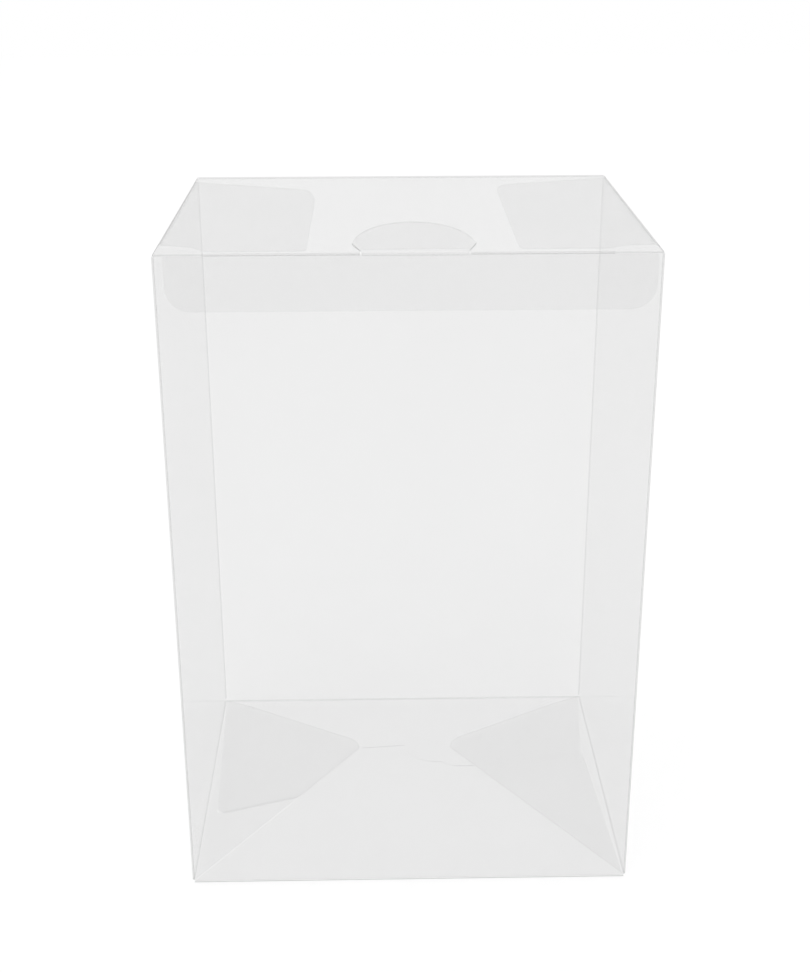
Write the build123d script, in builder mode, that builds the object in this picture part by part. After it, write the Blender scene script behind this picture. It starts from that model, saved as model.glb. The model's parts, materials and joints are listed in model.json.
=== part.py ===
from build123d import *
import os

# Clear protector box for a boxed figure: one die-cut sheet of film, folded, glued and closed.
# The origin is at the middle of the underside. The front wall is at -Y, the sides are at -X
# and +X, and +Z is up. All sizes are in millimetres.

# Closed box, measured outside the film
width = 117.0
depth = 96.0
height = 172.0

# Film, folds, the play between layers and the width of cuts
film = 0.4
bend_inside = 0.15
layer_gap = 0.1
cut_gap = 0.12

# Front wall: how far its top edge lies under the top of the lid
front_edge_drop = 0.3

# Lid, the slits at both ends of its front fold, and the tuck flap behind the front wall
lid_inset = 0.3
slit_length = 11.5
tuck_height = 13.6
tuck_play_left = 2.5
tuck_play_right = 1.3
tuck_corner = 5.8

# Locking tab of the front wall, with runs counted back from the front face
tab_offset = 1.5
tab_neck = 24.6
tab_width = 28.9
tab_neck_run = 5.0
tab_shoulder_run = 11.5
tab_run = 36.6
tab_dip_start = 2.2
tab_dip_end = 4.9
tab_dip_radius = 1.5

# Slot in the lid for the tab, and the slanting cuts that run back from its two ends
slot_play = 0.3
slot_run = 5.5
ear_start_run = 3.2
ear_end_run = 11.0
ear_spread = 2.0

# Dust flaps: reaches are counted in from the side walls' outer faces, gaps from the front
# and back faces
dust_shoulder_reach = 7.7
dust_step_reach = 11.8
dust_left_reach = 34.9
dust_left_back_reach = 30.0
dust_left_front_gap = 6.2
dust_left_shoulder_gap = 11.1
dust_left_root_front_gap = 13.4
dust_left_corner_gap = 34.5
dust_left_back_gap = 16.1
dust_left_root_back_gap = 5.2
dust_right_reach = 32.5
dust_right_back_reach = 28.5
dust_right_front_gap = 7.2
dust_right_shoulder_gap = 10.4
dust_right_root_front_gap = 11.0
dust_right_corner_gap = 22.0
dust_right_back_gap = 10.6
dust_right_root_back_gap = 2.0
dust_front_corner = 2.0

# Short bottom flaps: the slanting front edge ends at the apex, and runs are counted from the
# front face
apex_reach = 44.8
apex_run = 66.2
tip_reach = 42.5
tip_run = 70.3
heel_reach = 9.2
heel_back_gap = 5.1
tip_corner = 2.0

# Long bottom flaps, with runs of the back one counted from the back face
leg_play = 3.5
leg_run = 64.5
leg_end_reach = 27.0
leg_corner = 2.5
valley_run = 28.4
hook_offset = 0.3
hook_run = 38.0
hook_round = 9.0
crest_step_offset = 11.5
crest_offset = 14.2
crest_end_offset = 20.8
crest_run = 40.5
short_play = 4.2
short_run = 34.6
short_corner = 3.0

# Values that follow from the sizes above
half_width = width / 2
half_depth = depth / 2
bend_outside = film + bend_inside
front = -half_depth
back = half_depth
side_root = half_width - bend_outside
lid_underside = height - film
under_lid = lid_underside - layer_gap
upper_bend = height - bend_outside
dust_bend = under_lid - bend_outside
short_flap_level = film + layer_gap
side_foot = short_flap_level + bend_outside
tuck_face = front + film + layer_gap
lid_front = tuck_face + bend_outside
slit_start = half_width - slit_length
slot_half = tab_neck / 2 + slot_play


def crease(middle, outward, facing, length):
    """One fold: film bent a quarter round, from a panel facing outward to one that faces facing."""
    outward, facing = Vector(outward), Vector(facing)
    with BuildPart() as bend:
        with BuildSketch(Plane(middle, x_dir=outward, z_dir=outward.cross(facing))):
            with BuildLine():
                inner = CenterArc((0, 0), bend_inside, 0, 90)
                outer = CenterArc((0, 0), bend_outside, 0, 90)
                Line(inner @ 0, outer @ 0)
                Line(inner @ 1, outer @ 1)
            make_face()
        extrude(amount=length / 2, both=True)
    return bend.part


def panel(outline, level):
    """A level panel of film with the given outline, its lower face at the given height."""
    with BuildPart() as sheet:
        with BuildSketch(Plane.XY.offset(level)):
            add(outline)
        extrude(amount=film)
    return sheet.part


def outline(points, radii):
    """A closed outline with a rounding at each point, where zero keeps the corner sharp."""
    with BuildSketch() as shape:
        with BuildLine():
            FilletPolyline(*points, radius=radii, close=True)
        make_face()
    return shape.sketch


# Four walls with rounded upright folds, notched where the flaps of the lid and bottom begin
with BuildPart() as walls:
    with BuildSketch(Plane.XY.offset(bend_outside)):
        RectangleRounded(width, depth, bend_outside)
        RectangleRounded(width - 2 * film, depth - 2 * film, bend_inside, mode=Mode.SUBTRACT)
    extrude(amount=under_lid - bend_outside)
    for side in (-1, 1):
        with BuildSketch(Plane.XY.offset(bend_outside)):
            with Locations((side * half_width, 0)):
                Rectangle(2 * bend_outside, depth)
        extrude(amount=side_foot - bend_outside, mode=Mode.SUBTRACT)
    with BuildSketch(Plane.XY.offset(dust_bend)):
        for side, front_gap, back_gap in (
            (-1, dust_left_root_front_gap, dust_left_root_back_gap),
            (1, dust_right_root_front_gap, dust_right_root_back_gap),
        ):
            with Locations((side * half_width, (front_gap - back_gap) / 2)):
                Rectangle(2 * bend_outside, depth - front_gap - back_gap)
    extrude(amount=height - dust_bend, mode=Mode.SUBTRACT)
    with BuildSketch(Plane.XY.offset(upper_bend)):
        with Locations((0, back)):
            Rectangle(2 * side_root, 2 * bend_outside)
        with Locations((tab_offset, front)):
            Rectangle(tab_neck + 2 * cut_gap, 2 * bend_outside)
    extrude(amount=bend_outside, mode=Mode.SUBTRACT)

# Strip of the front wall that stands up in front of the lid's fold, open at the locking tab
with BuildPart() as front_lip:
    with BuildSketch(Plane.XY.offset(under_lid)):
        with Locations((0, front + film / 2)):
            Rectangle(2 * side_root, film)
        with Locations((tab_offset, front)):
            Rectangle(tab_neck + 2 * cut_gap, 2 * bend_outside, mode=Mode.SUBTRACT)
    extrude(amount=height - front_edge_drop - under_lid)

# Lid panel: its front corners stay flat beside the slits, and its slot has slanting end cuts
with BuildSketch() as lid_outline:
    with Locations((0, (lid_front + back - bend_outside) / 2)):
        Rectangle(width - 2 * lid_inset, back - bend_outside - lid_front)
    corner_width = half_width - lid_inset - slit_start - cut_gap
    for side in (-1, 1):
        corner_middle = half_width - lid_inset - corner_width / 2
        with Locations((side * corner_middle, (tuck_face + lid_front) / 2)):
            Rectangle(corner_width, lid_front - tuck_face)
    with Locations((tab_offset, (lid_front + front + slot_run) / 2)):
        Rectangle(2 * slot_half, front + slot_run - lid_front, mode=Mode.SUBTRACT)
    for side in (-1, 1):
        ear_start = tab_offset + side * slot_half
        with BuildLine():
            Line(
                (ear_start, front + ear_start_run),
                (ear_start + side * ear_spread, front + ear_end_run),
            )
        trace(line_width=cut_gap, mode=Mode.SUBTRACT)
lid = panel(lid_outline.sketch, lid_underside)
lid_rear_fold = crease((0, back - bend_outside, upper_bend), (0, 1, 0), (0, 0, 1), 2 * side_root)

# Front fold of the lid, in two lengths between the slits and the slot
fold_lengths = (
    (-slit_start, tab_offset - slot_half),
    (tab_offset + slot_half, slit_start),
)
lid_front_folds = [
    crease(((x0 + x1) / 2, lid_front, upper_bend), (0, -1, 0), (0, 0, 1), x1 - x0)
    for x0, x1 in fold_lengths
]

# Tuck flap, joined to the two folds and cut free below the slits and the slot
with BuildPart() as tuck_flap:
    with BuildSketch(Plane.XZ.offset(-tuck_face - film)):
        tuck_left = -half_width + tuck_play_left
        tuck_right = half_width - tuck_play_right
        with Locations(((tuck_left + tuck_right) / 2, height - (tuck_height + bend_outside) / 2)):
            blank = Rectangle(tuck_right - tuck_left, tuck_height - bend_outside)
        fillet(blank.vertices().group_by(Axis.Y)[0], tuck_corner)
        for x0, x1 in (
            (-half_width, -slit_start),
            (tab_offset - slot_half, tab_offset + slot_half),
            (slit_start, half_width),
        ):
            with Locations(((x0 + x1) / 2, upper_bend)):
                Rectangle(x1 - x0, 2 * cut_gap, mode=Mode.SUBTRACT)
    extrude(amount=film)

# Locking tab: bent back over the front wall's edge, down through the slot and under the lid
tab_neck_fold = crease(
    (tab_offset, front + bend_outside, upper_bend), (0, -1, 0), (0, 0, 1), tab_neck
)
with BuildPart() as locking_tab:
    with BuildSketch(Plane.YZ):
        with BuildLine():
            FilletPolyline(
                (front + bend_outside, height - film / 2),
                (front + tab_dip_start, height - film / 2),
                (front + tab_dip_end, under_lid - film / 2),
                (front + tab_run, under_lid - film / 2),
                radius=tab_dip_radius,
            )
        trace(line_width=film)
    extrude(amount=tab_offset + tab_width, both=True)
    with BuildSketch(Plane.XY.offset(dust_bend)):
        with BuildLine():
            tongue = EllipticalCenterArc(
                (tab_offset, front + tab_shoulder_run),
                tab_width / 2,
                tab_run - tab_shoulder_run,
                arc_size=180,
            )
            Polyline(
                tongue @ 1,
                (tab_offset - tab_neck / 2, front + tab_neck_run),
                (tab_offset - tab_neck / 2, front + bend_outside),
                (tab_offset + tab_neck / 2, front + bend_outside),
                (tab_offset + tab_neck / 2, front + tab_neck_run),
                tongue @ 0,
            )
        make_face()
    extrude(amount=height - dust_bend, mode=Mode.INTERSECT)


def dust_flap(side, reach, back_reach, front_gap, shoulder_gap, root_front_gap,
              corner_gap, back_gap, root_back_gap):
    """A dust flap with its fold, where side is -1 on the left and 1 on the right."""
    def place(inward, y):
        return (side * (half_width - inward), y)

    back_slope = (back_gap - root_back_gap) / (back_reach - bend_outside)
    turn_gap = back_gap + back_slope * (reach - back_reach)
    with BuildSketch() as shape:
        with BuildLine():
            front_part = FilletPolyline(
                place(bend_outside, back - root_back_gap),
                place(bend_outside, front + root_front_gap),
                place(dust_shoulder_reach, front + shoulder_gap),
                place(dust_step_reach, front + front_gap),
                place(reach, front + front_gap),
                place(reach, back - corner_gap),
                radius=[0, dust_front_corner, dust_front_corner, dust_front_corner],
            )
            back_corner = Bezier(
                front_part @ 1,
                place(reach, back - turn_gap),
                place(back_reach, back - back_gap),
            )
            Line(back_corner @ 1, front_part @ 0)
        make_face()
    fold = crease(
        (side * side_root, (root_front_gap - root_back_gap) / 2, dust_bend),
        (side, 0, 0),
        (0, 0, 1),
        depth - root_front_gap - root_back_gap,
    )
    return [panel(shape.sketch, under_lid - film), fold]


dust_flaps = dust_flap(
    -1, dust_left_reach, dust_left_back_reach, dust_left_front_gap, dust_left_shoulder_gap,
    dust_left_root_front_gap, dust_left_corner_gap, dust_left_back_gap, dust_left_root_back_gap,
) + dust_flap(
    1, dust_right_reach, dust_right_back_reach, dust_right_front_gap, dust_right_shoulder_gap,
    dust_right_root_front_gap, dust_right_corner_gap, dust_right_back_gap,
    dust_right_root_back_gap,
)


def short_flap_outline(side):
    """Outline of a short bottom flap, where side is -1 on the left and 1 on the right."""
    def place(inward, y):
        return (side * (half_width - inward), y)

    return outline(
        [
            place(bend_outside, front + bend_outside + cut_gap),
            place(apex_reach, front + apex_run),
            place(tip_reach, front + tip_run),
            place(heel_reach, back - heel_back_gap),
            place(bend_outside, back - bend_outside - cut_gap),
        ],
        [0, tip_corner, tip_corner, tip_corner, 0],
    )


# Back long flap: its leg lies under the left short flap, and its free edge has the hook
diagonal = apex_run / apex_reach
back_flap_outline = outline(
    [
        (-side_root, back - bend_outside),
        (-half_width + leg_play, back - leg_run),
        (-half_width + leg_end_reach, front + leg_end_reach * diagonal),
        (-half_width + apex_reach, front + apex_run),
        (hook_offset, back - valley_run),
        (hook_offset, back - hook_run),
        (crest_step_offset, back - hook_run),
        (crest_offset, back - crest_run),
        (crest_end_offset, back - crest_run),
        (half_width - short_play, back - short_run),
        (side_root, back - bend_outside),
    ],
    [0, leg_corner, 0.5, 0.5, 0.3, hook_round, 1, 1, 4, short_corner, 0],
)
with BuildSketch() as back_flap_clearance:
    add(back_flap_outline)
    offset(amount=cut_gap)

# Front long flap: it fills the rest of the bottom up to the back flap's hooked edge
with BuildSketch() as front_flap_outline:
    with BuildLine():
        Polyline(
            (-side_root, front + bend_outside),
            (-half_width + apex_reach, front + apex_run),
            (hook_offset, back - valley_run + hook_round),
            (half_width - apex_reach, back - valley_run + hook_round),
            (half_width - leg_play, back - short_run),
            (side_root, front + bend_outside),
            close=True,
        )
    make_face()
    add(back_flap_clearance.sketch, mode=Mode.SUBTRACT)

bottom_flaps = [
    panel(back_flap_outline, 0),
    panel(front_flap_outline.sketch, 0),
    crease((0, back - bend_outside, bend_outside), (0, 1, 0), (0, 0, -1), 2 * side_root),
    crease((0, front + bend_outside, bend_outside), (0, -1, 0), (0, 0, -1), 2 * side_root),
]
short_root = depth - 2 * (bend_outside + cut_gap)
for side in (-1, 1):
    bottom_flaps += [
        panel(short_flap_outline(side), short_flap_level),
        crease((side * side_root, 0, side_foot), (side, 0, 0), (0, 0, -1), short_root),
    ]

with BuildPart() as protector:
    add(walls.part)
    add([front_lip.part, lid, lid_rear_fold, tuck_flap.part, tab_neck_fold, locking_tab.part])
    add(lid_front_folds + dust_flaps)
    add(bottom_flaps)

protector.part.label = "protector"
os.makedirs("parts", exist_ok=True)
export_step(protector.part, "parts/protector.step")
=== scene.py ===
import json
import math

import bmesh
import bpy
from mathutils import Matrix, Vector
from mathutils.bvhtree import BVHTree

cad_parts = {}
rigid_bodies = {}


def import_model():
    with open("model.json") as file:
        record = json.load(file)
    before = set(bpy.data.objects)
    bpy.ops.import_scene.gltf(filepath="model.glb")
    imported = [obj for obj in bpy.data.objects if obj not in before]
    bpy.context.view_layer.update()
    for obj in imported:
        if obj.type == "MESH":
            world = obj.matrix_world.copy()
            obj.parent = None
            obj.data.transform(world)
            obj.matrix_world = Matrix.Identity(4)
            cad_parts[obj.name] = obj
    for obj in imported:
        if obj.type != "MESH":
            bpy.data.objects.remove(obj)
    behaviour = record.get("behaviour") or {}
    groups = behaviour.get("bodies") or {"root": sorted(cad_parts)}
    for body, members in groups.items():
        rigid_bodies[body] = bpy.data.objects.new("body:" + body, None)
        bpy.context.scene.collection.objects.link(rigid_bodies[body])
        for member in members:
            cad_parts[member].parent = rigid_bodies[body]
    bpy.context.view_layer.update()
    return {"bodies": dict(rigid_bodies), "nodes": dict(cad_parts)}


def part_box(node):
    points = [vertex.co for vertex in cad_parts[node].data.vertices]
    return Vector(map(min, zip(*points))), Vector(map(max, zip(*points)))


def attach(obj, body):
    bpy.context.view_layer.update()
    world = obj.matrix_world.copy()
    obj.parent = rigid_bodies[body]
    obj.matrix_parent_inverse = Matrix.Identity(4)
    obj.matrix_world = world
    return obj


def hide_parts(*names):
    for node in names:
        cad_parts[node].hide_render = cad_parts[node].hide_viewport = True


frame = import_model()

NODE = "protector"
MM = 0.001

# Camera, from the picture's eight box corners
CAMERA_PLACE = (-0.00766, -0.38091, 0.25029)
CAMERA_DOWN = 22.11
CAMERA_RIGHT = 1.143
CAMERA_ROLL = -0.126
FRAME_HEIGHT_PX = 972
FOCAL_PX = 1489.0
SENSOR_MM = 36.0
CLIP_START = 0.01
CLIP_END = 50

# Film: each entry has the share of light that a face lets through, its roughness and its
# gloss at a grazing angle. The flat layers come first, then the folds, then the cut faces.
# The shares hold painted light and shade: one film is made clearer where a layer lies against
# another and darker on a lone short flap, and the folds and cut faces are darker as painted
# shade for the light that bends away at them, the cut faces partly also for their frost.
FINISHES_AND_PAINTED_SHADE = {
    "film": (0.960, 0.08, 0.25),
    "inner_film": (0.976, 0.08, 0.25),
    "held_flap": (0.984, 0.08, 0.25),
    "lone_flap": (0.952, 0.08, 0.25),
    "fold": (0.885, 0.2, 0.05),
    "dark_fold": (0.80, 0.2, 0.0),
    "front_upright": (0.82, 0.2, 0.0),
    "back_upright": (0.90, 0.2, 0.05),
    "front_foot": (0.72, 0.2, 0.0),
    "lid_fold": (0.865, 0.2, 0.0),
    "lid_side": (0.70, 0.2, 0.0),
    "cut_edge": (0.965, 0.25, 0.05),
    "cut_line": (0.95, 0.2, 0.0),
    "low_cut_line": (0.985, 0.2, 0.0),
}
HEAD_ON_GLOSS = 0.04
GRAZING_POWER = 5
FACING_BLEND = 0.5
GLOSS_WHITE = 0.89
CLOUD_SIZE = 0.05
CLOUD_DETAIL = 2
CLOUD_SPREAD = 0.003
RIPPLE_SIZE = 0.03
RIPPLE_DETAIL = 1.5
RIPPLE_STRENGTH = 1.0
RIPPLE_DEPTH = 0.00002

# What tells a cut face, a fold and a flat face apart: the depth in which the film's far side is
# looked for, where that look starts, the width of a fold's face, and the sizes of slopes
FILM_MOST = 2.0 * MM
INTO_FILM = 0.01 * MM
FOLD_WIDTH = 0.45 * MM
LEVEL_ENOUGH = 0.9995
UPRIGHT_MOST = 0.1
SQUARE_CUT = 0.99

# Where a second layer starts and ends inside the outer one, and how close layers lie
INNER_START = 0.45 * MM
INNER_END = 0.95 * MM
LAYERS_APART = 0.2 * MM

# Straight edges this long divide the flaps above them, and points this near lie on the line
SPLIT_LENGTH = 4.0 * MM
ON_LINE = 0.001 * MM

# Places: the width of the box's outer rim, where the slanting cuts beside the tab end and the
# tab under the lid starts, both from the front face, and the tab's middle and half widths
# These places pick how dark the painted shade of folds and cut faces is
EDGE_DEPTH = 1.2 * MM
SLANT_END = 12.0 * MM
TAB_START = 6.0 * MM
TAB_MIDDLE = 1.5 * MM
TAB_HALF_NECK = 12.4 * MM
TAB_HALF_WIDTH = 16.0 * MM

# Stage
WORLD_LIGHT = 1.05
SHOWN_LIGHT = 1.0
FLOOR_REACH = 2.0
FLOOR_DROP = 0.3 * MM
FLOOR_GLOW = 0.75
FLOOR_WHITE = 0.95
LAMP_PLACE = (-0.6, -0.5, 1.2)
LAMP_AIM = (0, 0, 0.08)
LAMP_SIZE = 0.9
LAMP_POWER = 4.0

# Light paths, long enough for rays that pass all layers of film
MAX_BOUNCES = 24
GLOSSY_BOUNCES = 16
TRANSPARENT_BOUNCES = 64


def make_camera():
    """The camera of the picture, whose height in pixels sets the lens."""
    data = bpy.data.cameras.new("camera")
    data.sensor_fit = "VERTICAL"
    data.sensor_height = SENSOR_MM
    data.lens = SENSOR_MM * FOCAL_PX / FRAME_HEIGHT_PX
    data.clip_start = CLIP_START
    data.clip_end = CLIP_END
    camera = bpy.data.objects.new("camera", data)
    turn = (
        Matrix.Rotation(math.radians(-CAMERA_RIGHT), 4, "Z")
        @ Matrix.Rotation(math.radians(90 - CAMERA_DOWN), 4, "X")
        @ Matrix.Rotation(math.radians(CAMERA_ROLL), 4, "Z")
    )
    camera.matrix_world = Matrix.Translation(CAMERA_PLACE) @ turn
    bpy.context.scene.collection.objects.link(camera)
    bpy.context.scene.camera = camera


class Nodes:
    """A new node material, with short calls to add and join its nodes."""

    def __init__(self, name):
        self.material = bpy.data.materials.new(name)
        self.material.use_nodes = True
        self.tree = self.material.node_tree
        self.tree.nodes.clear()

    def add(self, kind, **settings):
        node = self.tree.nodes.new(kind)
        for key, value in settings.items():
            setattr(node, key, value)
        return node

    def join(self, source, target):
        self.tree.links.new(source, target)

    def maths(self, operation, *values):
        node = self.add("ShaderNodeMath", operation=operation)
        for socket, value in zip(node.inputs, values):
            if isinstance(value, (int, float)):
                socket.default_value = value
            else:
                self.join(value, socket)
        return node.outputs[0]

    def output(self, shader):
        self.join(shader, self.add("ShaderNodeOutputMaterial").inputs["Surface"])
        return self.material


def gloss_share(nodes, grazing_gloss):
    """Share of light that the film's face mirrors: little head on, more at a grazing angle."""
    facing = nodes.add("ShaderNodeLayerWeight")
    facing.inputs["Blend"].default_value = FACING_BLEND
    grazing = nodes.maths("POWER", facing.outputs["Facing"], GRAZING_POWER)
    return nodes.maths("MULTIPLY_ADD", grazing, grazing_gloss, HEAD_ON_GLOSS)


def noise(nodes, size, detail):
    """Soft noise of the given grain, fixed to the object."""
    place = nodes.add("ShaderNodeTexCoord")
    pattern = nodes.add("ShaderNodeTexNoise")
    pattern.inputs["Scale"].default_value = 1 / size
    pattern.inputs["Detail"].default_value = detail
    nodes.join(place.outputs["Object"], pattern.inputs["Vector"])
    return pattern.outputs["Fac"]


def ripple(nodes):
    """A faint unevenness of the rolled film, as a bump."""
    bump = nodes.add("ShaderNodeBump")
    bump.inputs["Strength"].default_value = RIPPLE_STRENGTH
    bump.inputs["Distance"].default_value = RIPPLE_DEPTH
    nodes.join(noise(nodes, RIPPLE_SIZE, RIPPLE_DETAIL), bump.inputs["Height"])
    return bump.outputs["Normal"]


def film_material(name, clear, roughness, grazing_gloss):
    """Clear film: see-through, a little cloudier here and there, with a gloss on its faces."""
    nodes = Nodes(name)
    see = nodes.add("ShaderNodeBsdfTransparent")
    cloud = noise(nodes, CLOUD_SIZE, CLOUD_DETAIL)
    # The share let through, a little uneven by the noise; for folds, cuts and some flat layers it
    # holds painted light or painted shade
    nodes.join(
        nodes.maths("MULTIPLY_ADD", cloud, 2 * CLOUD_SPREAD, clear - CLOUD_SPREAD),
        see.inputs["Color"],
    )
    gloss = nodes.add("ShaderNodeBsdfGlossy")
    gloss.inputs["Color"].default_value = (GLOSS_WHITE, GLOSS_WHITE, GLOSS_WHITE, 1)
    gloss.inputs["Roughness"].default_value = roughness
    nodes.join(ripple(nodes), gloss.inputs["Normal"])
    mix = nodes.add("ShaderNodeMixShader")
    nodes.join(gloss_share(nodes, grazing_gloss), mix.inputs[0])
    nodes.join(see.outputs[0], mix.inputs[1])
    nodes.join(gloss.outputs[0], mix.inputs[2])
    return nodes.output(mix.outputs[0])


def narrowest(corners):
    """The least height of a triangle."""
    a, b, c = corners
    double_area = (b - a).cross(c - a).length
    return double_area / max((b - a).length, (c - b).length, (a - c).length)


def on_short_flap(place, normal, low):
    """Whether a face is one of the level faces of the short bottom flaps."""
    return abs(normal.z) > LEVEL_ENOUGH and INNER_START < place.z - low[2] < INNER_END


def flat_painted_shade(face, tree, low, high):
    """How clear a flat face is painted: the film is made clearer, as painted light, on a layer that
    lies against another one outside it, and darker, as painted shade, on a short flap with none
    under it.
    """
    place = face.center
    if on_short_flap(place, face.normal, low):
        start = Vector((place.x, place.y, low[2] + INNER_START))
        held = tree.ray_cast(start, Vector((0, 0, -1)), LAYERS_APART)[0] is not None
        return "held_flap" if held else "lone_flap"
    level = abs(face.normal.z) > LEVEL_ENOUGH and INNER_START < high[2] - place.z < INNER_END
    behind = abs(face.normal.y) > LEVEL_ENOUGH and INNER_START < place.y - low[1] < INNER_END
    return "inner_film" if level or behind else "film"


def fold_painted_shade(face, low, high):
    """How dark a fold's face is painted: painted shade for the light that bends away at the fold,
    dark along the lid and in front, lighter at the back.
    """
    x, y, z = face.center
    in_front = y - low[1] < EDGE_DEPTH
    on_top = high[2] - z < EDGE_DEPTH
    if in_front and on_top and abs(face.normal.x) < 1 - LEVEL_ENOUGH:
        return "lid_fold" if abs(x - TAB_MIDDLE) > TAB_HALF_NECK else "fold"
    if on_top and high[0] - abs(x) < EDGE_DEPTH:
        return "lid_side"
    if abs(face.normal.z) < UPRIGHT_MOST:
        return "front_upright" if in_front else "back_upright"
    if in_front:
        return "front_foot"
    at_lid_rear = on_top and high[1] - y < EDGE_DEPTH
    return "dark_fold" if at_lid_rear else "fold"


def cut_frost_and_painted_shade(face, low, high):
    """How dark a cut face is: partly the frost of the cut edge, partly painted shade, dark at the
    lid's sides, lighter round the tab, faint elsewhere.
    """
    x, y, z = face.center
    run = y - low[1]
    in_front = run < EDGE_DEPTH
    on_top = high[2] - z < EDGE_DEPTH
    across, along, up = (abs(c) for c in face.normal)
    if on_top and across > UPRIGHT_MOST and along > UPRIGHT_MOST and up < UPRIGHT_MOST:
        near_tab = TAB_HALF_NECK - MM < abs(x - TAB_MIDDLE) < TAB_HALF_WIDTH
        if near_tab and MM < run < SLANT_END:
            return "fold"
    if INNER_START < high[2] - z < INNER_END and run > TAB_START:
        return "fold" if abs(x - TAB_MIDDLE) < TAB_HALF_WIDTH else "cut_line"
    if z - low[2] < INNER_END and along < SQUARE_CUT:
        return "low_cut_line" if z - low[2] < INNER_START else "cut_line"
    if on_top and across > LEVEL_ENOUGH and high[0] - abs(x) < EDGE_DEPTH:
        return "lid_side"
    return "fold" if in_front and on_top else "cut_edge"


def long_flap_lines(work, low):
    """The straight edges of the long bottom flaps, each as a place on it and the way across."""
    lines = []
    for edge in (edge for edge in work.edges if edge.is_boundary):
        a, b = (vertex.co for vertex in edge.verts)
        on_long_flap = edge.link_faces[0].normal.z > LEVEL_ENOUGH and a.z - low[2] < INNER_START
        across = (b - a).cross(Vector((0, 0, 1))).normalized()
        is_new = all(
            abs((a - place).dot(across)) > LAYERS_APART or abs(across.dot(other)) < SQUARE_CUT
            for place, other in lines
        )
        if on_long_flap and (b - a).length > SPLIT_LENGTH and is_new:
            lines.append((a.copy(), across))
    return lines


def split_short_flaps(mesh):
    """Cuts the level faces of the short flaps above the straight edges of the long flaps.

    Their form stays as it is, and each of their faces then lies wholly on or beside a long flap,
    so that the painted light of held flaps and the painted shade of lone flaps end at those edges.
    """
    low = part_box(NODE)[0]
    work = bmesh.new()
    work.from_mesh(mesh)
    flaps = [f for f in work.faces if on_short_flap(f.calc_center_median(), f.normal, low)]
    for place, across in long_flap_lines(work, low):
        near = dict.fromkeys(part for face in flaps for part in (*face.edges, *face.verts))
        cut = bmesh.ops.bisect_plane(
            work, geom=flaps + list(near), dist=ON_LINE, plane_co=place, plane_no=across
        )
        flaps = [part for part in cut["geom"] if isinstance(part, bmesh.types.BMFace)]
    bmesh.ops.triangulate(work, faces=[face for face in work.faces if len(face.verts) > 3])
    work.to_mesh(mesh)
    work.free()


def sort_faces(mesh):
    """Gives each face of the film its roughness, gloss and painted shade by its place.

    A cut face has no far side of the film close behind it, and a fold is a narrow slanting face.
    """
    points = [v.co.copy() for v in mesh.vertices]
    tree = BVHTree.FromPolygons(points, [tuple(p.vertices) for p in mesh.polygons])
    low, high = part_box(NODE)
    order = list(FINISHES_AND_PAINTED_SHADE)
    for face in mesh.polygons:
        normal = face.normal
        hit = tree.ray_cast(face.center - normal * INTO_FILM, -normal, FILM_MOST)[0]
        corners = [points[i] for i in face.vertices]
        slanting = max(abs(c) for c in normal) < LEVEL_ENOUGH
        if hit is None:
            finish_and_shade = cut_frost_and_painted_shade(face, low, high)
        elif slanting and narrowest(corners) < FOLD_WIDTH:
            finish_and_shade = fold_painted_shade(face, low, high)
        else:
            finish_and_shade = flat_painted_shade(face, tree, low, high)
        face.material_index = order.index(finish_and_shade)


def make_film_box():
    """The folded film: the mesh of its CAD solid, with a roughness, gloss and painted shade for
    each kind of face.
    """
    solid = frame["nodes"][NODE]
    mesh = solid.data.copy()
    mesh.name = "film_box"
    mesh.materials.clear()
    for name, values in FINISHES_AND_PAINTED_SHADE.items():
        mesh.materials.append(film_material(name, *values))
    split_short_flaps(mesh)
    sort_faces(mesh)
    box = bpy.data.objects.new("film_box", mesh)
    bpy.context.scene.collection.objects.link(box)
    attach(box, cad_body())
    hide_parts(NODE)


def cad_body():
    """The name of the one body of the row."""
    return sorted(frame["bodies"])[0]


def floor_material():
    """White floor: shown white, and a little darker where the object shades it."""
    nodes = Nodes("floor")
    path = nodes.add("ShaderNodeLightPath")
    dull = nodes.add("ShaderNodeBsdfDiffuse")
    dull.inputs["Color"].default_value = (FLOOR_WHITE, FLOOR_WHITE, FLOOR_WHITE, 1)
    shown = nodes.add("ShaderNodeEmission")
    shown.inputs["Strength"].default_value = SHOWN_LIGHT
    seen = nodes.maths("MAXIMUM", path.outputs["Is Camera Ray"], path.outputs["Is Glossy Ray"])
    seen = nodes.maths("MAXIMUM", seen, path.outputs["Is Transmission Ray"])
    mix = nodes.add("ShaderNodeMixShader")
    nodes.join(nodes.maths("MULTIPLY", seen, FLOOR_GLOW), mix.inputs[0])
    nodes.join(dull.outputs[0], mix.inputs[1])
    nodes.join(shown.outputs[0], mix.inputs[2])
    return nodes.output(mix.outputs[0])


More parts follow.
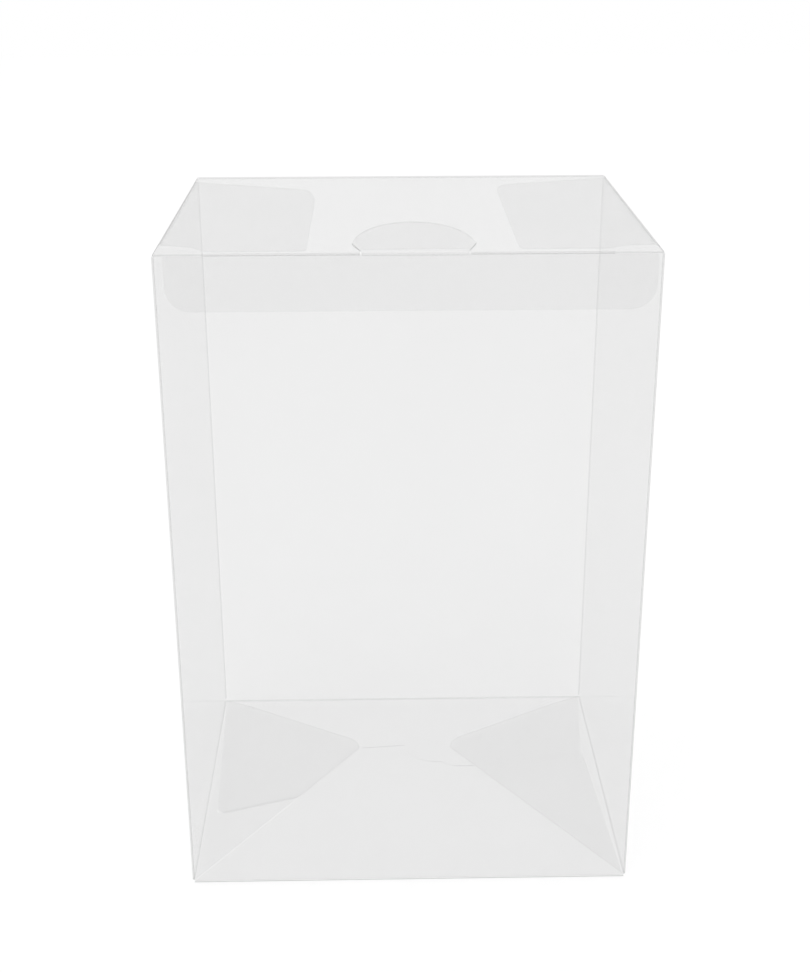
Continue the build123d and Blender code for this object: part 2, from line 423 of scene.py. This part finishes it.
def make_floor():
    """A wide level sheet just under the box."""
    mesh = bpy.data.meshes.new("floor")
    reach = FLOOR_REACH
    z = -FLOOR_DROP
    corners = [(-reach, -reach, z), (reach, -reach, z), (reach, reach, z), (-reach, reach, z)]
    mesh.from_pydata(corners, [], [(0, 1, 2, 3)])
    mesh.materials.append(floor_material())
    floor = bpy.data.objects.new("floor", mesh)
    bpy.context.scene.collection.objects.link(floor)


def make_world():
    """White all round for the eye, plain soft light for the rest."""
    world = bpy.data.worlds.new("studio")
    bpy.context.scene.world = world
    world.use_nodes = True
    tree = world.node_tree
    tree.nodes.clear()
    path = tree.nodes.new("ShaderNodeLightPath")
    light = tree.nodes.new("ShaderNodeBackground")
    light.inputs["Color"].default_value = (1, 1, 1, 1)
    light.inputs["Strength"].default_value = WORLD_LIGHT
    shown = tree.nodes.new("ShaderNodeBackground")
    shown.inputs["Color"].default_value = (1, 1, 1, 1)
    shown.inputs["Strength"].default_value = SHOWN_LIGHT
    mix = tree.nodes.new("ShaderNodeMixShader")
    out = tree.nodes.new("ShaderNodeOutputWorld")
    tree.links.new(path.outputs["Is Camera Ray"], mix.inputs[0])
    tree.links.new(light.outputs[0], mix.inputs[1])
    tree.links.new(shown.outputs[0], mix.inputs[2])
    tree.links.new(mix.outputs[0], out.inputs["Surface"])


def make_lamp():
    """A square soft lamp that points at the middle of the box."""
    data = bpy.data.lights.new("key", "AREA")
    data.size = LAMP_SIZE
    data.energy = LAMP_POWER
    lamp = bpy.data.objects.new("key", data)
    aim = Vector(LAMP_AIM) - Vector(LAMP_PLACE)
    turn = aim.to_track_quat("-Z", "Y").to_matrix().to_4x4()
    lamp.matrix_world = Matrix.Translation(LAMP_PLACE) @ turn
    bpy.context.scene.collection.objects.link(lamp)


scene = bpy.context.scene
scene.view_settings.view_transform = "Standard"
scene.cycles.max_bounces = MAX_BOUNCES
scene.cycles.glossy_bounces = GLOSSY_BOUNCES
scene.cycles.transparent_max_bounces = TRANSPARENT_BOUNCES

make_camera()
make_world()
make_lamp()
make_floor()
make_film_box()
